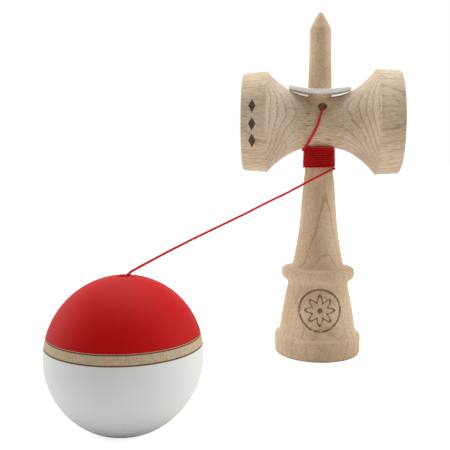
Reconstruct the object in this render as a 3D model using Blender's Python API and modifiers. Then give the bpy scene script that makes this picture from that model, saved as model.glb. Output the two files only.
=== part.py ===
"""A kendama, the wooden ball-and-cup toy, standing with its ball (tama) beside it on a table.

The handle (ken) stands on its base cup. The cross piece (sarado) with a cup at each end sits on the
ken's taper, a bent plastic washer rests on it, and one string runs from a knot inside the ken, out of
the sarado, round the shaft and across to a bead inside the ball. Metres, +Z up. The origin is at the
table, in the middle of the box round the wooden pieces. The sarado's axis is along X.
"""

import math

import bmesh
import bpy
from mathutils import Vector

MM = 0.001
GAP = 0.3 * MM
TURNED_STEPS = 40
RING_STEPS = 32

# Ball
BALL_R = 30.0 * MM
BALL_CENTRE_Z = 27.0 * MM
BALL_STRING_HOLE_R = 1.95 * MM
BALL_CHAMFER = 0.75 * MM
BALL_MOUTH_R = 11.2 * MM
BALL_MOUTH_BEVEL = 0.7 * MM
BALL_BORE_TOP_R = 6.5 * MM
BALL_BORE_TOP_Z = 46.0 * MM

# Cross piece: distances along its axis are from the ken's axis
SARADO_Z = 117.6 * MM
SARADO_WAIST_R = 12.9 * MM
BIG_CUP = dict(
    length=39.4 * MM, rim_r=25.7 * MM, edge_r=26.4 * MM, edge_at=27.9 * MM,
    mouth_r=22.7 * MM, waist_to=5.2 * MM, flank_power=2.1,
)
SMALL_CUP = dict(
    length=38.45 * MM, rim_r=24.55 * MM, edge_r=25.4 * MM, edge_at=26.3 * MM,
    mouth_r=21.2 * MM, waist_to=4.1 * MM, flank_power=1.96,
)
LIP = 0.5 * MM
RIM_ROUNDING = 0.8 * MM
CUP_SPHERE_R = 27.0 * MM
BORE_TOP_R, BORE_BOTTOM_R = 6.45 * MM, 7.1 * MM
BORE_CHAMFER = 0.8 * MM

# Handle, as (radius, height) in millimetres from the point to the base
TIP = [(0.0, 172.4), (0.55, 172.25)]
POINT = [(1.05, 171.7), (2.2, 170.0), (3.25, 168.15), (4.2, 166.25), (4.95, 164.65), (5.2, 163.65)]
SPIKE_AND_SHAFT = [
    (5.35, 151.4), (5.65, 140.4), (5.9, 131.6), (6.15, 126.8), (6.8, 101.5), (6.95, 97.1),
    (7.15, 92.7), (7.6, 88.6), (8.1, 83.6), (8.75, 75.5), (9.4, 67.2), (10.15, 60.7),
    (10.95, 55.7), (11.55, 52.3), (12.2, 48.8), (12.75, 46.3), (13.6, 44.6),
]
COLLAR = [
    (15.0, 44.0), (17.2, 43.8), (18.15, 43.25), (18.4, 42.35), (18.4, 40.35), (18.0, 39.1),
    (16.9, 38.1), (15.7, 37.0), (15.25, 35.8),
]
BASE_BODY = [(15.6, 33.3), (16.45, 29.4), (17.5, 23.8), (18.5, 17.6), (19.3, 12.5), (19.8, 10.65)]
BASE_RING = [
    (20.4, 10.25), (21.3, 10.1), (21.8, 9.65), (21.9, 8.8), (21.55, 1.3), (21.25, 0.4),
    (20.6, 0.0), (17.9, 0.0), (17.55, 0.15),
]
BASE_MOUTH_R = 17.4 * MM
BASE_MOUTH_Z = 0.4 * MM

# Where the ball stands, seen from the ken's axis, and the ken's place in the frame
BALL_FROM_KEN = Vector((-76.05, -103.7)) * MM
KEN_X = (BALL_R - BALL_FROM_KEN.x - BIG_CUP["length"]) / 2
KEN_Y = (BALL_R - BALL_FROM_KEN.y - BIG_CUP["edge_r"]) / 2
BALL_X = KEN_X + BALL_FROM_KEN.x
BALL_Y = KEN_Y + BALL_FROM_KEN.y

# Saddle washer
WASHER_R = 15.7 * MM
WASHER_HOLE_R = 6.75 * MM
WASHER_THICKNESS = 1.95 * MM
# Its middle stands clear of the waist, because its ends rest higher up
WASHER_RISE = 0.7 * MM
WASHER_Z = SARADO_Z + SARADO_WAIST_R + WASHER_RISE
WASHER_LEFT_LIFT, WASHER_RIGHT_LIFT = 3.05 * MM, 2.25 * MM

# String
STRING_R = 0.59 * MM
STRING_POINT_SPACING = 2.4 * MM
WRAP_INNER_R = 7.3 * MM
WRAP_OUTER_R = 7.95 * MM
WRAP_TOP_Z, WRAP_BOTTOM_Z = 102.7 * MM, 96.0 * MM
LAST_TURN_INNER_R = 7.6 * MM
LAST_TURN_TOP_Z, LAST_TURN_BOTTOM_Z = 95.7 * MM, 95.0 * MM
EXIT_R = 8.7 * MM
EXIT_Z = 94.1 * MM
ENTRY_Z = 57.3 * MM
ENTRY_STUB = 3.7 * MM
SARADO_HOLE_R = 2.25 * MM
SARADO_HOLE_TILT = math.radians(14.5)
SARADO_HOLE_RISE = 4.6 * MM
STRING_HOLE_X = 1.0 * MM
KEN_HOLE_R = 1.1 * MM
KEN_HOLE_Z = 122.3 * MM
KNOT_POCKET_R = 2.5 * MM
KNOT_POCKET_Y = 5.6 * MM
KEN_KNOT_R = 1.6 * MM
KEN_KNOT_Y = 4.6 * MM
# The route from the ken's knot to the left side of the winding, from the ken's axis
FRONT_ROUTE_MM = [
    (1.0, 2.7, 122.3), (1.0, -1.0, 122.3), (1.0, -5.5, 122.4), (1.0, -9.1, 123.0),
    (0.95, -11.6, 123.6), (0.7, -12.8, 123.1), (0.15, -13.65, 121.2), (-0.45, -13.85, 119.05),
    (-1.15, -13.75, 116.5), (-2.4, -13.15, 113.3), (-3.95, -12.0, 110.4), (-5.3, -10.05, 107.7),
    (-6.6, -7.1, 105.5), (-7.75, -3.4, 104.05), (-8.15, -0.2, 103.6), (-8.1, 1.2, 103.55),
]

# Bead and knot inside the ball
BEAD_R = 4.2 * MM
BEAD_HOLE_R = 0.9 * MM
BEAD_Z = 41.2 * MM
BALL_KNOT_R = 1.7 * MM
BALL_KNOT_TOP_Z, BALL_KNOT_BOTTOM_Z = 36.2 * MM, 32.9 * MM


def clear_scene():
    for obj in list(bpy.data.objects):
        bpy.data.objects.remove(obj, do_unlink=True)


def new_collection(name, hidden=False):
    collection = bpy.data.collections.new(name)
    bpy.context.scene.collection.children.link(collection)
    collection.hide_render = hidden
    return collection


def new_material(name, colour, roughness, metallic=0.0):
    material = bpy.data.materials.new(name)
    material.use_nodes = True
    shader = material.node_tree.nodes["Principled BSDF"]
    shader.inputs["Base Color"].default_value = (*colour, 1.0)
    shader.inputs["Roughness"].default_value = roughness
    shader.inputs["Metallic"].default_value = metallic
    return material


def arc(centre, radius, start_deg, end_deg, count):
    """Points on a circle in the (radius, height) plane, both ends included."""
    angles = [math.radians(start_deg + (end_deg - start_deg) * i / count) for i in range(count + 1)]
    return [(centre[0] + radius * math.cos(a), centre[1] + radius * math.sin(a)) for a in angles]


def in_metres(points_mm):
    return [tuple(value * MM for value in point) for point in points_mm]


def turned(name, outline, steps, material, closed=False):
    """An object turned round its Z axis from an outline of (radius, height) points."""
    edges = [(i, i + 1) for i in range(len(outline) - 1)]
    if closed:
        edges.append((len(outline) - 1, 0))
    mesh = bpy.data.meshes.new(name)
    mesh.from_pydata([(r, 0.0, z) for r, z in outline], edges, [])
    obj = bpy.data.objects.new(name, mesh)
    screw = obj.modifiers.new("turn", "SCREW")
    screw.axis = "Z"
    screw.steps = steps
    screw.render_steps = steps
    screw.use_merge_vertices = True
    screw.merge_threshold = 0.00001
    screw.use_smooth_shade = True
    mesh.materials.append(material)
    return obj


def smooth_route(points, spacing):
    """Points about spacing apart on a Catmull-Rom curve through the given ones."""
    points = [Vector(p) for p in points]
    padded = [2 * points[0] - points[1], *points, 2 * points[-1] - points[-2]]
    route = []
    for a, b, c, d in zip(padded, padded[1:], padded[2:], padded[3:]):
        count = max(1, round((c - b).length / spacing))
        for i in range(count):
            t = i / count
            route.append(
                0.5 * (2 * b + (c - a) * t + (2 * a - 5 * b + 4 * c - d) * t**2
                       + (3 * b - a - 3 * c + d) * t**3)
            )
    return [*route, points[-1]]


def tube(name, points, radius, material):
    curve = bpy.data.curves.new(name, "CURVE")
    curve.dimensions = "3D"
    curve.bevel_depth = radius
    curve.bevel_resolution = 2
    curve.use_fill_caps = True
    spline = curve.splines.new("POLY")
    spline.points.add(len(points) - 1)
    for spline_point, place in zip(spline.points, points):
        spline_point.co = (*place, 1.0)
    curve.materials.append(material)
    return bpy.data.objects.new(name, curve)


def cut(obj, cutter, cutters):
    """Cuts cutter out of obj, and keeps it as a hidden wire object."""
    cutters.objects.link(cutter)
    cutter.hide_render = True
    cutter.display_type = "WIRE"
    boolean = obj.modifiers.new("cut_" + cutter.name, "BOOLEAN")
    boolean.operation = "DIFFERENCE"
    boolean.solver = "EXACT"
    boolean.object = cutter


def drill(name, radius, depth, steps=20):
    """A round cutter along its own Z axis, centred on its origin."""
    shape = bmesh.new()
    bmesh.ops.create_cone(
        shape, cap_ends=True, segments=steps, radius1=radius, radius2=radius, depth=depth
    )
    mesh = bpy.data.meshes.new(name)
    shape.to_mesh(mesh)
    shape.free()
    return bpy.data.objects.new(name, mesh)


def dish(mouth_r, mouth_z, towards, count=7):
    """The outline of a cup's round inside, from its mouth to the axis. towards is -1 or 1 along Z."""
    edge = math.degrees(math.asin(mouth_r / CUP_SPHERE_R))
    centre_z = mouth_z - towards * CUP_SPHERE_R * math.cos(math.radians(edge))
    points = []
    for i in range(count + 1):
        angle = math.radians(edge * (1 - i / count))
        points.append(
            (CUP_SPHERE_R * math.sin(angle), centre_z + towards * CUP_SPHERE_R * math.cos(angle))
        )
    return points


def cup_outline(cup):
    """Half of the sarado, from the middle of its cup's inside to the waist, with the cup at +Z."""
    length, rim_r = cup["length"], cup["rim_r"]
    inside = dish(cup["mouth_r"], length - LIP, -1)[::-1]
    rim = arc((rim_r - RIM_ROUNDING, length - RIM_ROUNDING), RIM_ROUNDING, 90, 0, 3)
    lip = [(cup["mouth_r"] + LIP, length)]
    band = [
        (cup["edge_r"], cup["edge_at"] + 1.6 * MM),
        (cup["edge_r"] - 0.15 * MM, cup["edge_at"] + 0.6 * MM),
    ]
    flank = []
    for i in range(8):
        share = 0.975 * (1 - i / 7)
        along = cup["waist_to"] + (cup["edge_at"] - cup["waist_to"]) * share
        rise = (cup["edge_r"] - SARADO_WAIST_R) * share ** cup["flank_power"]
        flank.append((SARADO_WAIST_R + rise, along))
    return inside + lip + rim + band + flank


def make_ken(material, cutters):
    shaft = in_metres(TIP + POINT + SPIKE_AND_SHAFT + COLLAR + BASE_BODY + BASE_RING)
    outline = shaft + dish(BASE_MOUTH_R, BASE_MOUTH_Z, 1)
    obj = turned("ken", outline, TURNED_STEPS, material)
    obj.location = (KEN_X, KEN_Y, 0.0)
    string_hole = drill("ken_string_hole", KEN_HOLE_R, 30 * MM, steps=16)
    string_hole.rotation_euler = (math.radians(90), 0, 0)
    string_hole.location = (KEN_X + STRING_HOLE_X, KEN_Y, KEN_HOLE_Z)
    cut(obj, string_hole, cutters)
    pocket = drill("ken_knot_pocket", KNOT_POCKET_R, 5.6 * MM)
    pocket.rotation_euler = (math.radians(90), 0, 0)
    pocket.location = (KEN_X + STRING_HOLE_X, KEN_Y + KNOT_POCKET_Y, KEN_HOLE_Z)
    cut(obj, pocket, cutters)
    return obj


def make_sarado(material, cutters):
    big, small = cup_outline(BIG_CUP), cup_outline(SMALL_CUP)
    outline = big + [(r, -z) for r, z in reversed(small)]
    obj = turned("sarado", outline, TURNED_STEPS, material)
    obj.rotation_euler = (0, math.radians(90), 0)
    obj.location = (KEN_X, KEN_Y, SARADO_Z)

    top, bottom = SARADO_Z + 20 * MM, SARADO_Z - 20 * MM
    top_edge = SARADO_Z + SARADO_WAIST_R
    bottom_edge = SARADO_Z - SARADO_WAIST_R
    bore = turned(
        "sarado_ken_bore",
        [
            (0.0, top), (BORE_TOP_R + 8 * BORE_CHAMFER, top), (BORE_TOP_R, top_edge - BORE_CHAMFER),
            (BORE_BOTTOM_R, bottom_edge + BORE_CHAMFER / 2),
            (BORE_BOTTOM_R + 4 * BORE_CHAMFER, bottom), (0.0, bottom),
        ],
        RING_STEPS,
        material,
    )
    bore.location = (KEN_X, KEN_Y, 0.0)
    cut(obj, bore, cutters)

    string_hole = drill("sarado_string_hole", SARADO_HOLE_R, 12 * MM)
    outward = Vector((0, -math.cos(SARADO_HOLE_TILT), math.sin(SARADO_HOLE_TILT)))
    string_hole.rotation_euler = outward.to_track_quat("Z", "Y").to_euler()
    start = Vector((KEN_X + STRING_HOLE_X, KEN_Y, SARADO_Z + SARADO_HOLE_RISE))
    string_hole.location = start + outward * 11 * MM
    cut(obj, string_hole, cutters)
    return obj


def make_washer(material, parts):
    """A flat washer, bent so that it rests on the sarado's two flanks."""
    rounding = 0.5 * MM
    outer, inner = WASHER_R - rounding, WASHER_HOLE_R
    outline = [
        (inner, WASHER_THICKNESS),
        *[(inner + (outer - inner) * i / 4, WASHER_THICKNESS) for i in range(1, 4)],
        *arc((outer, WASHER_THICKNESS - rounding), rounding, 90, 0, 2),
        *arc((outer, rounding), rounding, 0, -90, 2),
        *[(inner + (outer - inner) * i / 4, 0.0) for i in (3, 2, 1)],
        (inner, 0.0),
    ]
    blank = turned("washer_blank", outline, RING_STEPS, material, closed=True)
    parts.objects.link(blank)
    graph = bpy.context.evaluated_depsgraph_get()
    mesh = bpy.data.meshes.new_from_object(blank.evaluated_get(graph))
    bpy.data.objects.remove(blank)
    for vertex in mesh.vertices:
        lift = WASHER_LEFT_LIFT if vertex.co.x < 0 else WASHER_RIGHT_LIFT
        vertex.co.z += lift * (vertex.co.x / WASHER_R) ** 2
    obj = bpy.data.objects.new("saddle_washer", mesh)
    obj.location = (KEN_X, KEN_Y, WASHER_Z)
    return obj


def make_tama(material):
    flat_angle = -math.degrees(math.asin(BALL_CENTRE_Z / BALL_R))
    chamfer_r = BALL_STRING_HOLE_R + BALL_CHAMFER
    top_angle = math.degrees(math.acos(chamfer_r / BALL_R))
    surface = arc((0.0, BALL_CENTRE_Z), BALL_R, top_angle, flat_angle, 20)
    outline = [
        (BALL_STRING_HOLE_R, surface[0][1] - BALL_CHAMFER),
        *surface,
        (BALL_MOUTH_R + BALL_MOUTH_BEVEL, 0.0),
        (BALL_MOUTH_R, BALL_MOUTH_BEVEL),
        (BALL_BORE_TOP_R, BALL_BORE_TOP_Z),
        (BALL_STRING_HOLE_R, BALL_BORE_TOP_Z + 1.2 * MM),
    ]
    obj = turned("tama", outline, TURNED_STEPS, material, closed=True)
    obj.location = (BALL_X, BALL_Y, 0.0)
    return obj


def make_ring(name, inner_r, outer_r, bottom, top, material):
    """The closed outer shape of some turns of string wound round the shaft."""
    rounding = STRING_R / 2
    outline = [
        (inner_r, top),
        *arc((outer_r - rounding, top - rounding), rounding, 90, 0, 2),
        *arc((outer_r - rounding, bottom + rounding), rounding, 0, -90, 2),
        (inner_r, bottom),
    ]
    obj = turned(name, outline, RING_STEPS, material, closed=True)
    obj.location = (KEN_X, KEN_Y, 0.0)
    return obj


def string_exit():
    """The point where the string leaves the shaft, and its direction seen from above."""
    distance = BALL_FROM_KEN.length
    towards_ball = math.atan2(BALL_FROM_KEN.y, BALL_FROM_KEN.x)
    angle = towards_ball + math.acos(EXIT_R / distance)
    leave = Vector((KEN_X + EXIT_R * math.cos(angle), KEN_Y + EXIT_R * math.sin(angle), EXIT_Z))
    return leave, Vector((math.sin(angle), -math.cos(angle), 0.0))


def make_string(material):
    ken_axis = Vector((KEN_X, KEN_Y, 0.0))
    front_points = [ken_axis + Vector(p) for p in in_metres(FRONT_ROUTE_MM)]
    front = tube("string_front", smooth_route(front_points, STRING_POINT_SPACING), STRING_R, material)
    wrap = make_ring(
        "string_wrap", WRAP_INNER_R, WRAP_OUTER_R, WRAP_BOTTOM_Z, WRAP_TOP_Z, material
    )
    last_turn = make_ring(
        "string_last_turn", LAST_TURN_INNER_R, WRAP_OUTER_R,
        LAST_TURN_BOTTOM_Z, LAST_TURN_TOP_Z, material,
    )

    leave, direction = string_exit()
    entry = Vector((BALL_X, BALL_Y, ENTRY_Z))
    slope = (entry.z - leave.z) / ((entry - leave).xy.length)
    along = direction + Vector((0, 0, slope))
    span_end = entry - along * (ENTRY_STUB + GAP)
    count = round((span_end - leave).length / (2 * STRING_POINT_SPACING))
    span_start = leave + along * GAP
    span_points = [span_start.lerp(span_end, i / count) for i in range(count + 1)]
    span = tube("string_span", span_points, STRING_R, material)

    bend_z = entry.z - 2.6 * MM
    stub = [
        entry - along * ENTRY_STUB,
        entry - along * 2.6 * MM,
        entry - along * 1.3 * MM - Vector((0, 0, 0.25 * MM)),
        Vector((entry.x, entry.y, bend_z + 1.2 * MM)) - direction * 0.25 * MM,
        Vector((entry.x, entry.y, bend_z)),
        Vector((entry.x, entry.y, bend_z - 5 * MM)),
        Vector((entry.x, entry.y, BALL_KNOT_TOP_Z + GAP)),
    ]
    end = tube("string_end", smooth_route(stub, STRING_POINT_SPACING / 2), STRING_R, material)
    return [front, wrap, last_turn, span, end]


def make_knot(name, radius, height, material):
    """A rounded knot on its own Z axis, centred on its origin."""
    half = height / 2
    outline = [(radius * math.cos(a), half * math.sin(a))
               for a in (math.radians(90 - 22.5 * i) for i in range(9))]
    outline[0], outline[-1] = (0.0, half), (0.0, -half)
    return turned(name, outline, 16, material)


def make_ken_knot(material):
    obj = make_knot("ken_knot", KEN_KNOT_R, 2.8 * MM, material)
    obj.rotation_euler = (math.radians(90), 0, 0)
    obj.location = (KEN_X + STRING_HOLE_X, KEN_Y + KEN_KNOT_Y, KEN_HOLE_Z)
    return obj


def make_ball_knot(material):
    height = BALL_KNOT_TOP_Z - BALL_KNOT_BOTTOM_Z
    obj = make_knot("tama_knot", BALL_KNOT_R, height, material)
    obj.location = (BALL_X, BALL_Y, BALL_KNOT_BOTTOM_Z + height / 2)
    return obj


def make_bead(material):
    end = math.degrees(math.acos(BEAD_HOLE_R / BEAD_R))
    outline = arc((0.0, 0.0), BEAD_R, end, -end, 10)
    obj = turned("tama_bead", outline, 24, material, closed=True)
    obj.location = (BALL_X, BALL_Y, BEAD_Z)
    return obj


def main():
    clear_scene()
    parts = new_collection("kendama")
    cutters = new_collection("kendama_cutters", hidden=True)

    ken_beech = new_material("ken_beech", (0.46, 0.34, 0.22), 0.62)
    sarado_beech = new_material("sarado_beech", (0.50, 0.38, 0.26), 0.62)
    tama_paint = new_material("tama_paint", (0.45, 0.03, 0.025), 0.5)
    white_plastic = new_material("white_plastic", (0.78, 0.78, 0.78), 0.4)
    red_string = new_material("red_string", (0.42, 0.02, 0.02), 0.85)
    bead_plastic = new_material("bead_plastic", (0.72, 0.70, 0.66), 0.45)

    pieces = [
        make_ken(ken_beech, cutters),
        make_sarado(sarado_beech, cutters),
        make_washer(white_plastic, parts),
        make_tama(tama_paint),
        *make_string(red_string),
        make_ken_knot(red_string),
        make_bead(bead_plastic),
        make_ball_knot(red_string),
    ]
    for piece in pieces:
        parts.objects.link(piece)


main()
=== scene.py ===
"""Looks of a kendama: fine turned wood, paint, a plastic washer and one wound string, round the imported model.

Constants, profiles and routes are in millimetres, and what is placed in the scene is in metres.
"""

import math

import bmesh
import bpy
import numpy as np
from mathutils import Matrix, Vector


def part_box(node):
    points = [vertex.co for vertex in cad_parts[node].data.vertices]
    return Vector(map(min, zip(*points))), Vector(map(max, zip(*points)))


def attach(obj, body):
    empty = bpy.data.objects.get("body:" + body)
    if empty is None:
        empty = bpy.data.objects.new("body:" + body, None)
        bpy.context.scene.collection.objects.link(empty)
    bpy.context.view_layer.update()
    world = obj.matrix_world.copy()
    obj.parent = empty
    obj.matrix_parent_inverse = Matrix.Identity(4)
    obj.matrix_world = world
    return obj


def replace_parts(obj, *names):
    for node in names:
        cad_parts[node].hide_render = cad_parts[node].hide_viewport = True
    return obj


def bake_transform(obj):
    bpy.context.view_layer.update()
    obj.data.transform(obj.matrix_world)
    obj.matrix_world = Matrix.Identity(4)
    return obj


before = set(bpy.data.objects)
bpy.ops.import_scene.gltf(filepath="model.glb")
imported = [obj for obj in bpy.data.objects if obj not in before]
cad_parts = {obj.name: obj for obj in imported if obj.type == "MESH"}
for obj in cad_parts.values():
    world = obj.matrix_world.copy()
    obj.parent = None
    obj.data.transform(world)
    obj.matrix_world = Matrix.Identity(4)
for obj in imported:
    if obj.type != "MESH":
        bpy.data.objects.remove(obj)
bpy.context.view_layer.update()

MM = 0.001


def middle(node):
    low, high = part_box(node)
    return (low + high) / 2


# The axes of the ken and of the ball on the floor, and the middle of the sarado
KEN = Vector((*middle("string_wrap").xy, 0.0))
BALL = Vector((*middle("tama").xy, 0.0))
SARADO = Vector((KEN.x, KEN.y, middle("sarado").z))
BALL_R, BALL_CENTRE_Z = 30.0, 27.0

# ---------------------------------------------------------------- camera

FOCAL_PX, FRAME_PX, SHIFT_PX = 697.7, 450.0, -31.2
CAMERA_FROM_KEN = Vector((-13.85, -357.6, 105.35))
PITCH, YAW, ROLL = math.radians(-3.9), math.radians(5.45), math.radians(-0.16)
camera_data = bpy.data.cameras.new("camera")
camera_data.sensor_width = 36.0
camera_data.lens = FOCAL_PX / FRAME_PX * camera_data.sensor_width
camera_data.shift_y = SHIFT_PX / FRAME_PX
camera_data.clip_start, camera_data.clip_end = 0.01, 50.0
camera = bpy.data.objects.new("camera", camera_data)
bpy.context.scene.collection.objects.link(camera)
camera.location = KEN + CAMERA_FROM_KEN * MM
camera.rotation_euler = (math.radians(90) + PITCH, ROLL, YAW)
bpy.context.scene.camera = camera

# ---------------------------------------------------------------- curves and meshes


def catmull_rom(points, spacing):
    """Points about spacing apart on a smooth curve through the given ones, which have 2 or 3 coordinates."""
    given = np.array([tuple(p) for p in points], float)
    padded = np.vstack([2 * given[0] - given[1], given, 2 * given[-1] - given[-2]])
    out = []
    for a, b, c, d in zip(padded, padded[1:], padded[2:], padded[3:]):
        count = max(1, int(round(np.linalg.norm(c - b) / spacing)))
        t = np.arange(count)[:, None] / count
        out.append(
            0.5 * (2 * b + (c - a) * t + (2 * a - 5 * b + 4 * c - d) * t**2 + (3 * b - a - 3 * c + d) * t**3)
        )
    return np.vstack([*out, given[-1:]])


def evenly(points, spacing):
    """The same line with its points an equal distance apart."""
    points = np.array(points, float)
    along = np.concatenate([[0], np.cumsum(np.linalg.norm(np.diff(points, axis=0), axis=1))])
    stops = np.linspace(0, along[-1], max(2, int(round(along[-1] / spacing)) + 1))
    return np.column_stack([np.interp(stops, along, column) for column in points.T])


def softened(outline, radius):
    """The outline with its corners rounded to about that radius. Its two ends stay."""
    step = radius / 4
    line = evenly(outline, step)
    reach = int(round(3 * radius / step))
    weights = np.exp(-0.5 * (np.arange(-reach, reach + 1) / (0.62 * radius / step)) ** 2)
    weights /= weights.sum()
    padded = np.vstack([2 * line[0] - line[reach:0:-1], line, 2 * line[-1] - line[-2:-reach - 2:-1]])
    smooth = np.column_stack([np.convolve(column, weights, "valid") for column in padded.T])
    smooth[0], smooth[-1] = line[0], line[-1]
    return smooth


def thinned(line, within):
    """The line without the points that are nearly on the straight line between the ones kept."""
    keep, todo = np.zeros(len(line), bool), [(0, len(line) - 1)]
    keep[[0, -1]] = True
    while todo:
        a, b = todo.pop()
        if b - a < 2:
            continue
        d, rest = line[b] - line[a], line[a + 1 : b] - line[a]
        share = np.clip(rest @ d / max(d @ d, 1e-12), 0, 1)
        away = np.linalg.norm(rest - share[:, None] * d, axis=1)
        far = int(away.argmax())
        if away[far] > within:
            keep[a + 1 + far] = True
            todo += [(a, a + 1 + far), (a + 1 + far, b)]
    return line[keep]


def new_object(name, mesh, at=(0, 0, 0)):
    obj = bpy.data.objects.new(name, mesh)
    bpy.context.scene.collection.objects.link(obj)
    obj.location = at
    return obj


def mesh_from(name, points, faces):
    mesh = bpy.data.meshes.new(name)
    mesh.from_pydata([tuple(p) for p in points], [], faces)
    mesh.validate()
    return mesh


def finish_mesh(mesh, sharp_deg=32):
    shape = bmesh.new()
    shape.from_mesh(mesh)
    bmesh.ops.remove_doubles(shape, verts=shape.verts, dist=2e-7)
    bmesh.ops.recalc_face_normals(shape, faces=shape.faces)
    shape.to_mesh(mesh)
    shape.free()
    mesh.shade_smooth()
    mesh.set_sharp_from_angle(angle=math.radians(sharp_deg))


def lathe(name, outline_mm, steps, axis="Z", closed=False, at=(0, 0, 0), sharp_deg=32):
    """A turned solid from (radius, height) points, about Z or, for axis X, with its height along +X."""
    outline = np.asarray(outline_mm, float) * MM
    count, points, faces, rows = len(outline), [], [], []
    for radius, height in outline:
        if radius < 1e-7:
            rows.append([len(points)] * steps)
            points.append((0.0, 0.0, height))
            continue
        rows.append(list(range(len(points), len(points) + steps)))
        for i in range(steps):
            angle = 2 * math.pi * i / steps
            points.append((radius * math.cos(angle), radius * math.sin(angle), height))
    for k in range(count if closed else count - 1):
        a, b = rows[k], rows[(k + 1) % count]
        for i in range(steps):
            j = (i + 1) % steps
            corners = list(dict.fromkeys((a[i], a[j], b[j], b[i])))
            if len(corners) > 2:
                faces.append(corners)
    if axis == "X":
        points = [(z, y, -x) for x, y, z in points]
    mesh = mesh_from(name, points, faces)
    finish_mesh(mesh, sharp_deg)
    return new_object(name, mesh, at)


def carve(obj, cutters):
    """Cuts the cutters out of obj for good, and removes them."""
    for cutter in cutters:
        modifier = obj.modifiers.new(cutter.name, "BOOLEAN")
        modifier.operation, modifier.solver, modifier.object = "DIFFERENCE", "EXACT", cutter
    bpy.context.view_layer.update()
    graph = bpy.context.evaluated_depsgraph_get()
    mesh = bpy.data.meshes.new_from_object(obj.evaluated_get(graph))
    obj.modifiers.clear()
    obj.data = mesh
    finish_mesh(mesh)
    for cutter in cutters:
        bpy.data.objects.remove(cutter)


# ---------------------------------------------------------------- node materials


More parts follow.
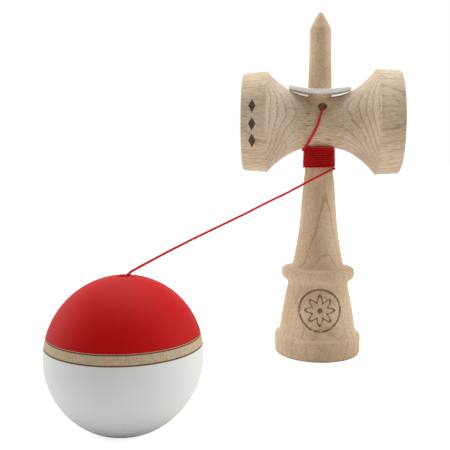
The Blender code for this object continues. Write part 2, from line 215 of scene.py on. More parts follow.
class Shader:
    """A node material, built by calls that return sockets.

    Coordinates are millimetres in the piece's own axes, and per_mm is how often a texture repeats in one.
    """

    def __init__(self, name):
        self.material = bpy.data.materials.new(name)
        self.material.use_nodes = True
        self.tree = self.material.node_tree
        self.principled = self.tree.nodes["Principled BSDF"]
        coordinates = self.tree.nodes.new("ShaderNodeTexCoord")
        self.point = self.vector("SCALE", coordinates.outputs["Object"], scale=1000.0)
        self.x, self.y, self.z = self.split(self.point)

    def put(self, socket, value):
        if isinstance(value, bpy.types.NodeSocket):
            self.tree.links.new(value, socket)
        else:
            socket.default_value = value

    def math(self, operation, *values, clamp=False):
        node = self.tree.nodes.new("ShaderNodeMath")
        node.operation, node.use_clamp = operation, clamp
        for socket, value in zip(node.inputs, values):
            self.put(socket, value)
        return node.outputs[0]

    def vector(self, operation, *values, scale=None):
        node = self.tree.nodes.new("ShaderNodeVectorMath")
        node.operation = operation
        for socket, value in zip(node.inputs, values):
            self.put(socket, value)
        if scale is not None:
            self.put(node.inputs["Scale"], scale)
        return node.outputs["Value" if operation in ("LENGTH", "DISTANCE", "DOT_PRODUCT") else "Vector"]

    def scaled(self, point, per_mm):
        """The point times per_mm, which is one number or one for each axis."""
        if isinstance(per_mm, tuple):
            return self.vector("MULTIPLY", point, per_mm)
        return self.vector("SCALE", point, scale=per_mm)

    def total(self, first, *others):
        for other in others:
            first = self.math("ADD", first, other)
        return first

    def product(self, first, *others):
        for other in others:
            first = self.math("MULTIPLY", first, other)
        return first

    def swing(self, value, amount):
        """A value of 0 to 1 turned into one from minus half the amount to plus half of it."""
        return self.math("MULTIPLY", self.math("SUBTRACT", value, 0.5), amount)

    def reach(self, a, b):
        """How far (a, b) is from the origin."""
        return self.math("SQRT", self.math("ADD", self.math("MULTIPLY", a, a), self.math("MULTIPLY", b, b)))

    def split(self, vector):
        node = self.tree.nodes.new("ShaderNodeSeparateXYZ")
        self.put(node.inputs[0], vector)
        return node.outputs[0], node.outputs[1], node.outputs[2]

    def join(self, x, y, z):
        node = self.tree.nodes.new("ShaderNodeCombineXYZ")
        for socket, value in zip(node.inputs, (x, y, z)):
            self.put(socket, value)
        return node.outputs[0]

    def noise(self, point, per_mm, detail=2.0, roughness=0.5):
        node = self.tree.nodes.new("ShaderNodeTexNoise")
        self.put(node.inputs["Vector"], self.scaled(point, per_mm))
        for name, value in (("Scale", 1.0), ("Detail", detail), ("Roughness", roughness)):
            node.inputs[name].default_value = value
        return node.outputs["Fac"]

    def cells(self, point, per_mm):
        """Distance to the nearest scattered point, and that point's own random number."""
        node = self.tree.nodes.new("ShaderNodeTexVoronoi")
        self.put(node.inputs["Vector"], self.scaled(point, per_mm))
        node.inputs["Scale"].default_value = 1.0
        return node.outputs["Distance"], self.split(node.outputs["Color"])[0]

    def between(self, value, low, high, to_low=0.0, to_high=1.0, smooth=True):
        """The value's place from low to high, which may run downwards, as one from to_low to to_high."""
        node = self.tree.nodes.new("ShaderNodeMapRange")
        node.interpolation_type = "SMOOTHSTEP" if smooth else "LINEAR"
        for socket, given in zip(node.inputs, (value, low, high, to_low, to_high)):
            self.put(socket, given)
        return node.outputs[0]

    def mix(self, share, a, b, blend="MIX"):
        node = self.tree.nodes.new("ShaderNodeMix")
        node.data_type, node.blend_type = "RGBA", blend
        self.put(node.inputs["Factor"], share)
        for socket, colour in ((node.inputs["A"], a), (node.inputs["B"], b)):
            if not isinstance(colour, bpy.types.NodeSocket):
                colour = (*colour, 1.0)
            self.put([s for s in node.inputs if s.name == socket.name and s.type == "RGBA"][0], colour)
        return [s for s in node.outputs if s.type == "RGBA"][0]

    def ramp(self, value, stops):
        node = self.tree.nodes.new("ShaderNodeValToRGB")
        self.put(node.inputs[0], value)
        elements = node.color_ramp.elements
        while len(elements) < len(stops):
            elements.new(0.5)
        for element, (place, level) in zip(elements, stops):
            element.position, element.color = place, (level, level, level, 1.0)
        return node.outputs["Color"]

    def bump(self, height, distance_mm):
        node = self.tree.nodes.new("ShaderNodeBump")
        self.put(node.inputs["Height"], height)
        node.inputs["Distance"].default_value = distance_mm * MM
        node.inputs["Strength"].default_value = 1.0
        return node.outputs["Normal"]

    def finish(self, colour, roughness, normal=None, **constants):
        self.put(self.principled.inputs["Base Color"], colour)
        self.put(self.principled.inputs["Roughness"], roughness)
        if normal is not None:
            self.put(self.principled.inputs["Normal"], normal)
        for name, value in constants.items():
            self.principled.inputs[name.replace("_", " ")].default_value = value
        return self.material


# How often each texture repeats in a millimetre, for wood whose fibres run along that axis
DRIFT = {"X": (0.012, 0.05, 0.05), "Z": (0.05, 0.05, 0.012)}
FIBRE = {"X": (0.35, 3.2, 3.2), "Z": (3.2, 3.2, 1.0)}
PORE = {"X": (0.9, 3.4, 3.4), "Z": (3.4, 3.4, 0.9)}
FLECK = {"X": (0.17, 2.0, 2.0), "Z": (2.4, 2.4, 0.8)}
# How far the growth rings stray, slowly and quickly, and how dark one is through its thickness
RING_DRIFT, RING_WAVER = 9.0, 1.1
RING_PROFILE = [(0.0, 0.12), (0.05, 0.0), (0.55, 0.05), (0.86, 0.20), (0.95, 1.0), (1.0, 0.15)]
FAINTEST_RING = 0.6
# How far from its middle the sarado's two bands start, and over how much they set in
BAND_AT, BAND_FADE = 26.0, 2.0
# How strong the ring lines are in the calm wood, and on the bands
CALM_LINES, BAND_LINES = 0.22, 0.35
# The calm wood's tint warms it and darkens it, partly painted shade on the waist between the cups; the bands'
# tint is a warmer hue
WAIST_TINT_AND_PAINTED_SHADE, BAND_TINT, NO_TINT = (0.88, 0.83, 0.72), (0.97, 0.94, 0.88), (1.0, 1.0, 1.0)
# How much each texture darkens the wood, from the shade that all of it has
FIBRE_SHARE, BLOTCH_SHARE, PORE_SHARE, BASE_SHADE = 1.5, 0.9, 0.22, 0.22
# Pores and flecks are drawn within these distances of scattered points, and on these of the points
PORE_REACH, PORE_PICK = (0.30, 0.12), (0.35, 0.9)
FLECK_REACH, FLECK_PICK = (0.36, 0.23), (0.45, 0.65)
# A fleck's colour as a share of the dark wood's, and how strong flecks are in each place
FLECK_TINT, PLAIN_FLECKS = (0.60, 0.42, 0.25), 0.4
CALM_FLECKS, FLANK_FLECKS, BAND_FLECKS = 0.9, 0.05, 0.5
# How far pores, flecks and burnt marks are sunk, next to the fibres' own relief in millimetres
PORE_DEPTH, FLECK_DEPTH, BURN_DEPTH, WOOD_RELIEF = 0.8, 0.3, 2.0, 0.035
BROWN_BURN, BLACK_BURN, BURN_COVER = (0.21, 0.092, 0.045), (0.055, 0.026, 0.013), 0.93


def beech(name, grain, light, dark, pith, ring_mm, marks=None, seed=0.0, calm_mm=0.0,
          burn=BROWN_BURN, line_share=0.6, streak_share=0.6):
    """Sanded beech. grain is the axis that the fibres run along, and pith the layers' middle across it.

    Within calm_mm of the piece's middle along the grain, the ring lines are faint and the wood is warmer and
    darker: a warmer tone with painted shade on the waist between the cups.
    """
    s = Shader(name)
    across = {"X": (s.y, s.z), "Z": (s.x, s.y)}[grain]
    along = {"X": s.x, "Z": s.z}[grain]
    shifted = s.vector("ADD", s.point, (seed, seed * 1.7, seed * 0.6))
    slow = s.noise(shifted, DRIFT[grain], detail=1.0)
    waver = s.noise(shifted, tuple(v * 5 for v in DRIFT[grain]))
    depth = s.reach(s.math("SUBTRACT", across[0], pith[0]), s.math("SUBTRACT", across[1], pith[1]))
    depth = s.total(depth, s.swing(slow, RING_DRIFT), s.swing(waver, RING_WAVER))
    turns = s.math("DIVIDE", depth, ring_mm)
    line = s.ramp(s.math("FRACT", turns), RING_PROFILE)
    strength = s.tree.nodes.new("ShaderNodeTexWhiteNoise")
    strength.noise_dimensions = "1D"
    s.put(strength.inputs["W"], s.math("FLOOR", turns))
    line = s.product(line, s.between(strength.outputs["Value"], 0, 1, FAINTEST_RING, 1.0, smooth=False))
    if calm_mm:
        outside = s.between(s.math("ABSOLUTE", along), calm_mm * 0.3, calm_mm)
        on_band = s.between(s.math("ABSOLUTE", along), BAND_AT, BAND_AT + BAND_FADE)
        clear = s.product(outside, s.between(on_band, 0, 1, 1.0, BAND_LINES))
        line = s.product(line, s.math("MULTIPLY_ADD", clear, 1 - CALM_LINES, CALM_LINES))

    fibre = s.noise(shifted, FIBRE[grain], detail=3.0, roughness=0.6)
    streak = s.noise(shifted, tuple(v * 0.4 for v in FIBRE[grain]), roughness=0.6)
    blotch = s.noise(shifted, 0.06)
    pore, pore_pick = s.cells(shifted, PORE[grain])
    pores = s.product(s.between(pore, *PORE_REACH), s.between(pore_pick, *PORE_PICK))
    fleck, fleck_pick = s.cells(shifted, FLECK[grain])
    flecks = s.product(s.between(fleck, *FLECK_REACH), s.between(fleck_pick, *FLECK_PICK))

    shade = s.total(
        s.product(line, line_share), s.swing(fibre, FIBRE_SHARE), s.swing(streak, streak_share),
        s.swing(blotch, BLOTCH_SHARE), s.product(pores, PORE_SHARE),
    )
    colour = s.mix(s.math("ADD", shade, BASE_SHADE, clamp=True), light, dark)
    fleck_share = PLAIN_FLECKS
    if calm_mm:
        tint = s.mix(on_band, s.mix(outside, WAIST_TINT_AND_PAINTED_SHADE, NO_TINT), BAND_TINT)
        # Painted shade: the calm tint darkens the waist between the cups as well as warming it
        colour = s.mix(1.0, colour, tint, "MULTIPLY")
        fewer = s.between(outside, 0, 1, 1 - CALM_FLECKS, 1 - FLANK_FLECKS)
        more = s.between(on_band, 0, 1, 1.0, 1 + BAND_FLECKS - FLANK_FLECKS)
        fleck_share = s.math("SUBTRACT", more, fewer)
    fleck_colour = [v * k for v, k in zip(dark, FLECK_TINT)]
    colour = s.mix(s.product(flecks, fleck_share), colour, fleck_colour)
    roughness = s.between(fibre, 0.3, 0.7, 0.60, 0.72)
    height = s.math("SUBTRACT", fibre, s.product(pores, PORE_DEPTH))
    height = s.math("SUBTRACT", height, s.product(flecks, FLECK_DEPTH))
    if marks is not None:
        burnt = marks(s, s.noise(shifted, 1.6, detail=3.0))
        colour = s.mix(s.product(burnt, BURN_COVER), colour, burn)
        height = s.math("SUBTRACT", height, s.product(burnt, BURN_DEPTH))
    return s.finish(colour, roughness, s.bump(height, WOOD_RELIEF), Specular_IOR_Level=0.32)


def stroke(s, value, half_width, edge):
    """1 where |value| is under half_width, fading over edge."""
    return s.between(s.math("ABSOLUTE", value), half_width + edge, half_width - edge)


ORNAMENT_X, ORNAMENT_Z = 0.6, 24.9
PETALS, PETAL_HALF, FLOWER_R, RING_R, EYE_R = 8.0, 1.6, 5.5, 10.0, 1.35
PETAL_PEN, RING_PEN, PEN_EDGE = 0.66, 0.5, 0.16


def base_ornament(s, rough):
    """A generic rosette in a ring, burnt into the front of the base."""
    x, z = s.math("SUBTRACT", s.x, ORNAMENT_X), s.math("SUBTRACT", s.z, ORNAMENT_Z)
    radius = s.total(s.reach(x, z), s.swing(rough, 0.9))
    petals = s.product(s.math("COSINE", s.product(s.math("ARCTAN2", z, x), PETALS)), PETAL_HALF)
    flower = s.math("SUBTRACT", radius, s.total(petals, FLOWER_R))
    flower = stroke(s, flower, PETAL_PEN, PEN_EDGE)
    ring = stroke(s, s.math("SUBTRACT", radius, RING_R), RING_PEN, PEN_EDGE)
    drawn = s.math("MAXIMUM", s.math("MAXIMUM", flower, ring), stroke(s, radius, EYE_R, PEN_EDGE))
    front, worn = s.math("LESS_THAN", s.y, 0.0), s.between(rough, 0.33, 0.47)
    return s.product(drawn, front, worn)


LOZENGE_X, LOZENGE_HEIGHTS = -32.9, (7.1, -1.5, -9.6)
LOZENGE_HALF_WIDTH, LOZENGE_HALF_HEIGHT = 1.75, 3.2
# The inside of the cup is nearer the sarado's axis than this
LOZENGE_INNER_R = 23.6


def band_lozenges(s, rough):
    """Three plain lozenges burnt one above another into the small cup's band."""
    across = s.math("DIVIDE", s.math("ABSOLUTE", s.math("SUBTRACT", s.x, LOZENGE_X)), LOZENGE_HALF_WIDTH)
    drawn = 0.0
    for height in LOZENGE_HEIGHTS:
        away = s.math("DIVIDE", s.math("ABSOLUTE", s.math("SUBTRACT", s.z, height)), LOZENGE_HALF_HEIGHT)
        one = s.between(s.total(across, away, s.swing(rough, 0.5)), 1.1, 0.92)
        drawn = s.math("MAXIMUM", drawn, one)
    outer = s.math("GREATER_THAN", s.vector("LENGTH", s.join(0.0, s.y, s.z)), LOZENGE_INNER_R)
    front = s.math("LESS_THAN", s.y, 0.0)
    return s.product(drawn, outer, front)


# The bare band on the ball, in heights from its centre, and how far in from its edges the burnt lines are
BAND_LOW, BAND_HIGH, BAND_LINE = 4.27, 8.47, 0.38
PAINT_EDGE = 0.04
REDS = (0.49, 0.0025, 0.0015), (0.57, 0.0050, 0.0035)
WHITES = (0.82, 0.82, 0.80), (0.87, 0.87, 0.855)
BARE_WOODS = (0.66, 0.52, 0.36), (0.50, 0.36, 0.23)
SPECK_ON_RED, SPECK_ON_WHITE, BURNT_LINE = (0.18, 0.006, 0.006), (0.45, 0.42, 0.38), (0.085, 0.038, 0.02)


def paint_material():
    """Satin paint, red over white, with a bare beech band between two fine burnt lines."""
    s = Shader("tama_satin_paint")
    height = s.total(s.z, s.swing(s.noise(s.point, 0.25, detail=1.0), 0.10))
    red_side = s.between(height, BAND_HIGH - PAINT_EDGE, BAND_HIGH + PAINT_EDGE)
    white_side = s.between(height, BAND_LOW + PAINT_EDGE, BAND_LOW - PAINT_EDGE)
    speck, speck_pick = s.cells(s.point, 0.14)
    specks = s.product(s.between(speck, 0.045, 0.030), s.math("GREATER_THAN", speck_pick, 0.55))
    cloud = s.noise(s.point, 0.045, detail=3.0)
    red = s.mix(s.product(specks, 0.7), s.mix(cloud, *REDS), SPECK_ON_RED)
    white = s.mix(s.product(specks, 0.5), s.mix(cloud, *WHITES), SPECK_ON_WHITE)
    fibre = s.noise(s.point, (2.6, 2.6, 0.5), detail=3.0)
    wood = s.mix(s.between(fibre, 0.25, 0.75), *BARE_WOODS)
    upper, lower = (
        stroke(s, s.math("SUBTRACT", height, at), BAND_LINE * 0.6, 0.07)
        for at in (BAND_HIGH - BAND_LINE, BAND_LOW + BAND_LINE)
    )
    wood = s.mix(s.product(s.math("MAXIMUM", upper, lower), 0.9), wood, BURNT_LINE)
    colour = s.mix(red_side, s.mix(white_side, wood, white), red)
    painted = s.math("ADD", red_side, white_side, clamp=True)
    roughness = s.total(s.between(painted, 0, 1, 0.66, 0.56, smooth=False), s.swing(cloud, 0.10))
    peel = s.noise(s.point, 1.3)
    normal = s.bump(s.total(s.product(peel, 0.8), s.product(fibre, 0.35)), 0.012)
    return s.finish(colour, roughness, normal, Specular_IOR_Level=0.12)


def plastic_material(name, light, dark, roughness_low, roughness_high):
    s = Shader(name)
    cloud = s.noise(s.point, 0.12, detail=3.0)
    scuff = s.noise(s.point, (0.5, 4.0, 4.0), detail=4.0, roughness=0.65)
    colour = s.mix(s.between(cloud, 0.3, 0.7), light, dark)
    roughness = s.between(scuff, 0.35, 0.65, roughness_low, roughness_high)
    return s.finish(colour, roughness, s.bump(scuff, 0.012), Specular_IOR_Level=0.45)


# Between these heights, where it is wound, the string has the cord's deep red; where it hangs free it is
# painted lighter, painted sheen and backlight
WOUND_BOTTOM, WOUND_TOP, WOUND_FADE = 94.2, 104.6, 0.3
WOUND_REDS = (0.52, 0.0025, 0.0025), (0.62, 0.006, 0.005)
SHEEN_LIT_FREE_REDS = (0.66, 0.026, 0.024), (0.74, 0.042, 0.038)
# The filaments' painted glint colour
FILAMENT_GLINT_RED = (0.72, 0.034, 0.030)


def string_material():
    """Red polyester cord; its strands are in the mesh, and their filaments are here, with painted glints on
    them and painted sheen where the string hangs free.
    """
    s = Shader("string_red_cord")
    cloud = s.between(s.noise(s.point, 0.3), 0.3, 0.7)
    filament = s.noise(s.point, 9.0, detail=3.0, roughness=0.7)
    below_top = s.between(s.z, WOUND_TOP + WOUND_FADE, WOUND_TOP - WOUND_FADE)
    above_bottom = s.between(s.z, WOUND_BOTTOM - WOUND_FADE, WOUND_BOTTOM + WOUND_FADE)
    # Painted sheen: the hanging string is coloured lighter than the wound rows
    colour = s.mix(s.product(below_top, above_bottom), s.mix(cloud, *SHEEN_LIT_FREE_REDS), s.mix(cloud, *WOUND_REDS))
    # Painted glints: random filaments turn lighter red, standing in for their highlights
    colour = s.mix(s.between(filament, 0.42, 0.75, 0.0, 0.5), colour, FILAMENT_GLINT_RED)
    roughness = s.between(filament, 0.3, 0.7, 0.55, 0.75)
    return s.finish(colour, roughness, s.bump(filament, 0.03), Specular_IOR_Level=0.10,
                    Sheen_Weight=0.04, Sheen_Roughness=0.4)


KEN_LIGHT, KEN_DARK = (0.785, 0.605, 0.41), (0.46, 0.285, 0.135)
SARADO_LIGHT, SARADO_DARK = (0.815, 0.685, 0.53), (0.42, 0.27, 0.14)
WASHER_WHITES = (0.99, 0.99, 0.99), (0.975, 0.975, 0.975)
BEAD_CREAMS = (0.80, 0.77, 0.70), (0.72, 0.68, 0.60)
ken_wood = beech(
    "ken_beech_grain", "Z", KEN_LIGHT, KEN_DARK, pith=(-9.0, 66.0), ring_mm=2.9,
    marks=base_ornament, seed=3.1,
)
sarado_wood = beech(
    "sarado_beech_grain", "X", SARADO_LIGHT, SARADO_DARK, pith=(63.0, -16.0), ring_mm=2.75,
    marks=band_lozenges, seed=11.7, calm_mm=17.0, burn=BLACK_BURN, line_share=1.0, streak_share=1.1,
)
bore_wood = beech("tama_bore_beech", "Z", KEN_LIGHT, KEN_DARK, pith=(40.0, 30.0), ring_mm=2.6, seed=29.3)
tama_paint = paint_material()
washer_plastic = plastic_material("washer_white_plastic", *WASHER_WHITES, 0.42, 0.55)
bead_plastic = plastic_material("bead_cream_plastic", *BEAD_CREAMS, 0.28, 0.40)
red_cord = string_material()

# ---------------------------------------------------------------- ken

# The ken's outline from its tip to the edge of its base cup, as (radius, height)
POINT = [
    (0.0, 172.4), (0.55, 172.25), (1.05, 171.7), (2.2, 170.0), (3.25, 168.15), (4.2, 166.25),
    (4.95, 164.65), (5.2, 163.65),
]
SPIKE_AND_SHAFT = [
    (5.2, 163.65), (5.35, 151.4), (5.65, 140.4), (5.9, 131.6), (6.15, 126.8), (6.8, 101.5), (6.95, 97.1),
    (7.15, 92.7), (7.6, 88.6), (8.1, 83.6), (8.75, 75.5), (9.4, 67.2), (10.15, 60.7),
    (10.95, 55.7), (11.55, 52.3), (12.2, 48.8), (12.75, 46.3), (13.6, 44.6), (15.0, 44.0),
]
COLLAR = [
    (15.0, 44.0), (17.2, 43.8), (18.15, 43.25), (18.4, 42.35), (18.4, 40.35), (18.0, 39.1),
    (16.9, 38.1), (15.7, 37.0), (15.25, 35.8),
]
BASE_BODY = [
    (15.25, 35.8), (15.6, 33.3), (16.45, 29.4), (17.5, 23.8), (18.5, 17.6), (19.3, 12.5), (19.8, 10.65),
]
BASE_RING = [
    (19.8, 10.65), (20.4, 10.25), (21.3, 10.1), (21.8, 9.65), (21.9, 8.8), (21.55, 1.3), (21.25, 0.4),
    (20.6, 0.0), (17.9, 0.0), (17.55, 0.15), (17.4, 0.4),
]
CUP_SPHERE_R = 27.0


def hollow(mouth_r, mouth_z, towards, count=40):
    """A cup's round inside, from its mouth to the axis."""
    edge = math.asin(mouth_r / CUP_SPHERE_R)
    centre = mouth_z - towards * CUP_SPHERE_R * math.cos(edge)
    angles = [edge * (1 - i / count) for i in range(count + 1)]
    return [(CUP_SPHERE_R * math.sin(a), centre + towards * CUP_SPHERE_R * math.cos(a)) for a in angles]


def joined(*runs):
    """One line from runs that each start where the last one ends."""
    return np.vstack([runs[0], *[np.asarray(run)[1:] for run in runs[1:]]])


ken_outline = joined(
    catmull_rom(POINT, 0.1),
    catmull_rom(SPIKE_AND_SHAFT, 0.3),
    catmull_rom(COLLAR, 0.1),
    catmull_rom(BASE_BODY, 0.3),
    BASE_RING,
    hollow(*BASE_RING[-1], 1),
)
ken_outline = thinned(softened(ken_outline, 0.35), 0.004)
ken = lathe("ken_turned", ken_outline, steps=144, at=KEN)
# The string runs this far to the right of the ken's middle
STRING_X = 1.0
KEN_HOLE_R, KEN_HOLE_DEPTH, KEN_HOLE_Z = 1.1, 30.0, 122.3
KNOT_POCKET_R, KNOT_POCKET_DEPTH, KNOT_POCKET_Y = 2.5, 5.6, 5.6


def drill(name, radius, depth, at, turned):
    """A round cutter whose middle is at that place, turned by a rotation matrix from standing along Z."""
    half = depth / 2
    cutter = lathe(name, [(0, half), (radius, half), (radius, -half), (0, -half)], steps=48)
    cutter.matrix_world = Matrix.Translation(at) @ turned
    return cutter


towards_back = Matrix.Rotation(math.radians(90), 4, "X")
hole_at = KEN + Vector((STRING_X, 0, KEN_HOLE_Z)) * MM
pocket_at = KEN + Vector((STRING_X, KNOT_POCKET_Y, KEN_HOLE_Z)) * MM
ken_hole = drill("ken_hole", KEN_HOLE_R, KEN_HOLE_DEPTH, hole_at, towards_back)
knot_pocket = drill("knot_pocket", KNOT_POCKET_R, KNOT_POCKET_DEPTH, pocket_at, towards_back)
carve(ken, [ken_hole, knot_pocket])
ken.data.materials.clear()
ken.data.materials.append(ken_wood)
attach(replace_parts(ken, "ken"), "ken")

# ---------------------------------------------------------------- sarado

WAIST_R, LIP, RIM_ROUNDING = 12.9, 0.5, 0.8
# The flank runs from the waist's end, waist_to from the middle, to the edge, and power says how it swells
BIG_CUP = dict(length=39.4, rim_r=25.7, edge_r=26.4, edge_at=27.9, mouth_r=22.7, waist_to=5.2, power=2.1)
SMALL_CUP = dict(length=38.45, rim_r=24.55, edge_r=25.4, edge_at=26.3, mouth_r=21.2, waist_to=4.1, power=1.96)


def cup_half(cup):
    """Half of the sarado's outline, from the middle of its cup to the waist, with the cup at +height."""
    length, rim_r = cup["length"], cup["rim_r"]
    inside = hollow(cup["mouth_r"], length - LIP, -1)[::-1]
    lip = [inside[-1], (cup["mouth_r"] + LIP, length), (rim_r - RIM_ROUNDING, length)]
    rounding = [
        (rim_r - RIM_ROUNDING * (1 - math.sin(a)), length - RIM_ROUNDING * (1 - math.cos(a)))
        for a in np.linspace(0, math.pi / 2, 8)
    ]
    flank = []
    for share in np.linspace(1.0, 0.0, 60):
        along = cup["waist_to"] + (cup["edge_at"] - cup["waist_to"]) * share
        flank.append((WAIST_R + (cup["edge_r"] - WAIST_R) * share ** cup["power"], along))
    return joined(inside, lip, rounding, [rounding[-1], flank[0]], flank)


small_half = cup_half(SMALL_CUP) * (1, -1)
sarado_outline = joined(cup_half(BIG_CUP), [(WAIST_R, BIG_CUP["waist_to"]), small_half[-1]], small_half[::-1])
sarado_outline = thinned(softened(sarado_outline, 0.22), 0.003)
sarado = lathe("sarado_turned", sarado_outline, steps=240, axis="X", at=SARADO)

# The cutter for the ken's bore reaches past the waist, where it flares into the bore's chamfers
BORE_TOP_R, BORE_BOTTOM_R, BORE_CHAMFER, BORE_REACH = 6.3, 7.0, 0.8, 20.0
bore_outline = [
    (0.0, BORE_REACH), (BORE_TOP_R + 8 * BORE_CHAMFER, BORE_REACH), (BORE_TOP_R, WAIST_R - BORE_CHAMFER),
    (BORE_BOTTOM_R, -WAIST_R + BORE_CHAMFER / 2), (BORE_BOTTOM_R + 4 * BORE_CHAMFER, -BORE_REACH),
    (0.0, -BORE_REACH),
]
ken_bore = lathe("ken_bore", thinned(softened(bore_outline, 0.3), 0.004), steps=96, at=SARADO)
# The string hole's middle line slopes up towards the front from HOLE_RISE above the sarado's axis
HOLE_R, HOLE_DEPTH, HOLE_TILT, HOLE_RISE, HOLE_OUT = 2.25, 12.0, math.radians(14.5), 4.6, 11.0
outward = Vector((0, -math.cos(HOLE_TILT), math.sin(HOLE_TILT)))
front_at = SARADO + Vector((STRING_X, 0, HOLE_RISE)) * MM + outward * HOLE_OUT * MM
facing_front = outward.to_track_quat("Z", "Y").to_matrix().to_4x4()
string_hole = drill("string_hole", HOLE_R, HOLE_DEPTH, front_at, facing_front)
carve(sarado, [ken_bore, string_hole])
sarado.data.materials.clear()
sarado.data.materials.append(sarado_wood)
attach(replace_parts(sarado, "sarado"), "ken")

# ---------------------------------------------------------------- saddle washer

WASHER_R, WASHER_HOLE_R, WASHER_THICKNESS = 15.7, 6.75, 1.95
# Its middle stands this far above the waist, and its two ends are bent up
WASHER_RISE, LEFT_LIFT, RIGHT_LIFT = 0.7, 3.05, 2.25
# Rows of points between its hole and its edge, so that it can bend
WASHER_ROWS = (8.5, 10.5, 12.5, 14.5)
washer_top = [(r, WASHER_THICKNESS) for r in (WASHER_HOLE_R, *WASHER_ROWS, WASHER_R)]
washer_section = [(WASHER_HOLE_R, 0.0), *washer_top, *[(r, 0.0) for r, _ in washer_top[::-1]]]
washer_section = thinned(softened(washer_section, 0.5), 0.003)[:-1]
washer_at = SARADO + Vector((0, 0, WAIST_R + WASHER_RISE)) * MM
washer = lathe("washer_moulded", washer_section, steps=128, closed=True, at=washer_at)
for vertex in washer.data.vertices:
    lift = LEFT_LIFT if vertex.co.x < 0 else RIGHT_LIFT
    vertex.co.z += lift * MM * (vertex.co.x / (WASHER_R * MM)) ** 2
finish_mesh(washer.data)
washer.data.materials.append(washer_plastic)
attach(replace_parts(washer, "saddle_washer"), "washer")

# ---------------------------------------------------------------- tama

STRING_HOLE_R, STRING_HOLE_CHAMFER = 1.95, 0.75
MOUTH_R, MOUTH_BEVEL, BORE_R, BORE_TOP, BORE_CONE = 11.2, 0.7, 6.5, 19.0, 1.2
PAINT_THICKNESS = 0.05


def ball_outline():
    """From the string hole's edge down over the ball and up its bore, in heights from the ball's centre."""
    start = math.asin((STRING_HOLE_R + STRING_HOLE_CHAMFER) / BALL_R)
    end = math.pi - math.acos(BALL_CENTRE_Z / BALL_R)
    hole_top = (STRING_HOLE_R, BALL_R * math.cos(start) - STRING_HOLE_CHAMFER)
    line = [hole_top]
    for angle in np.linspace(start, end, 700):
        height = BALL_R * math.cos(angle)
        radius = BALL_R - (PAINT_THICKNESS if BAND_LOW < height < BAND_HIGH else 0.0)
        line.append((radius * math.sin(angle), radius * math.cos(angle)))
    bottom = -BALL_CENTRE_Z
    line += [(MOUTH_R + MOUTH_BEVEL, bottom), (MOUTH_R, bottom + MOUTH_BEVEL), (BORE_R, BORE_TOP),
             (STRING_HOLE_R, BORE_TOP + BORE_CONE), hole_top]
    return np.array(line)


def is_bore(x, y, z):
    """Whether a point of the ball's surface, from its centre, is inside its bore or string hole."""
    reach = math.hypot(x, y)
    return reach < MOUTH_R - 0.05 and z < BALL_R - 4.5 and math.hypot(reach, z) < BALL_R - 0.6


ball_section = thinned(softened(ball_outline(), 0.12), 0.0025)[:-1]
ball_at = BALL + Vector((0, 0, BALL_CENTRE_Z)) * MM
tama = lathe("tama_ball", ball_section, steps=192, closed=True, at=ball_at, sharp_deg=40)
tama.data.materials.append(tama_paint)
tama.data.materials.append(bore_wood)
for polygon in tama.data.polygons:
    polygon.material_index = int(is_bore(*(polygon.center / MM)))
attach(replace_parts(tama, "tama"), "tama")

# ---------------------------------------------------------------- string

STRING_D = 1.18
# A wound turn is narrower along the shaft than the free string
PRESSED = np.array((1.0, 1.0, 0.87))
# From the knot in the ken out of the sarado's front and round to the shaft's left side, from the ken's foot
FRONT_ROUTE = [
    (1.0, 2.7, 122.3), (1.0, -1.0, 122.3), (1.0, -5.5, 122.4), (1.0, -9.1, 123.0),
    (0.95, -11.6, 123.6), (0.7, -12.8, 123.1), (0.15, -13.65, 121.2), (-0.45, -13.85, 119.05),
    (-1.15, -13.75, 116.5), (-2.4, -13.15, 113.3), (-3.95, -12.0, 110.4), (-5.3, -10.05, 107.7),
    (-6.6, -7.1, 105.5), (-7.75, -3.4, 104.05), (-8.15, -0.2, 103.6),
]
# Where the string leaves the winding and where it enters the ball
EXIT_R, EXIT_Z, ENTRY_Z = 8.7, 94.1, 57.3
to_ball = (BALL - KEN) / MM
exit_angle = math.atan2(to_ball.y, to_ball.x) + math.acos(EXIT_R / to_ball.xy.length)
leave = Vector((EXIT_R * math.cos(exit_angle), EXIT_R * math.sin(exit_angle), EXIT_Z))
entry = Vector((to_ball.x, to_ball.y, ENTRY_Z))
direction = Vector((math.sin(exit_angle), -math.cos(exit_angle), 0.0))
slope = (entry.z - leave.z) / (entry - leave).xy.length
along = direction + Vector((0, 0, slope))
# Ten rows and part of a turn, counted from the shaft's left side; the rows pass the front at three quarters
FULL_TURNS = 10.0
EXIT_TURN = (math.pi - exit_angle) / (2 * math.pi) + FULL_TURNS
FIRST_ROW_TURN, LAST_ROW_TURN = 0.75, 9.75
# The first row dips at the sides by ROW_SADDLE, and the last is level
FIRST_ROW_Z, ROW_PITCH, ROW_SADDLE = 104.6, 1.028, 0.55
ARRIVAL_R, ARRIVAL_Z, SHAFT_GAP = 8.14, 103.57, 0.05
# The turns in which its height and then its radius settle into the rows, and how early they leave them
HEIGHT_SETTLES, RADIUS_SETTLES, HEIGHT_LEAVES, RADIUS_LEAVES = (0.0, 0.3), (0.22, 0.5), 0.32, 0.11
shaft = np.array(sorted((z, r) for r, z in SPIKE_AND_SHAFT))


def smoothstep(value, low, high):
    t = min(1.0, max(0.0, (value - low) / (high - low)))
    return t * t * (3 - 2 * t)


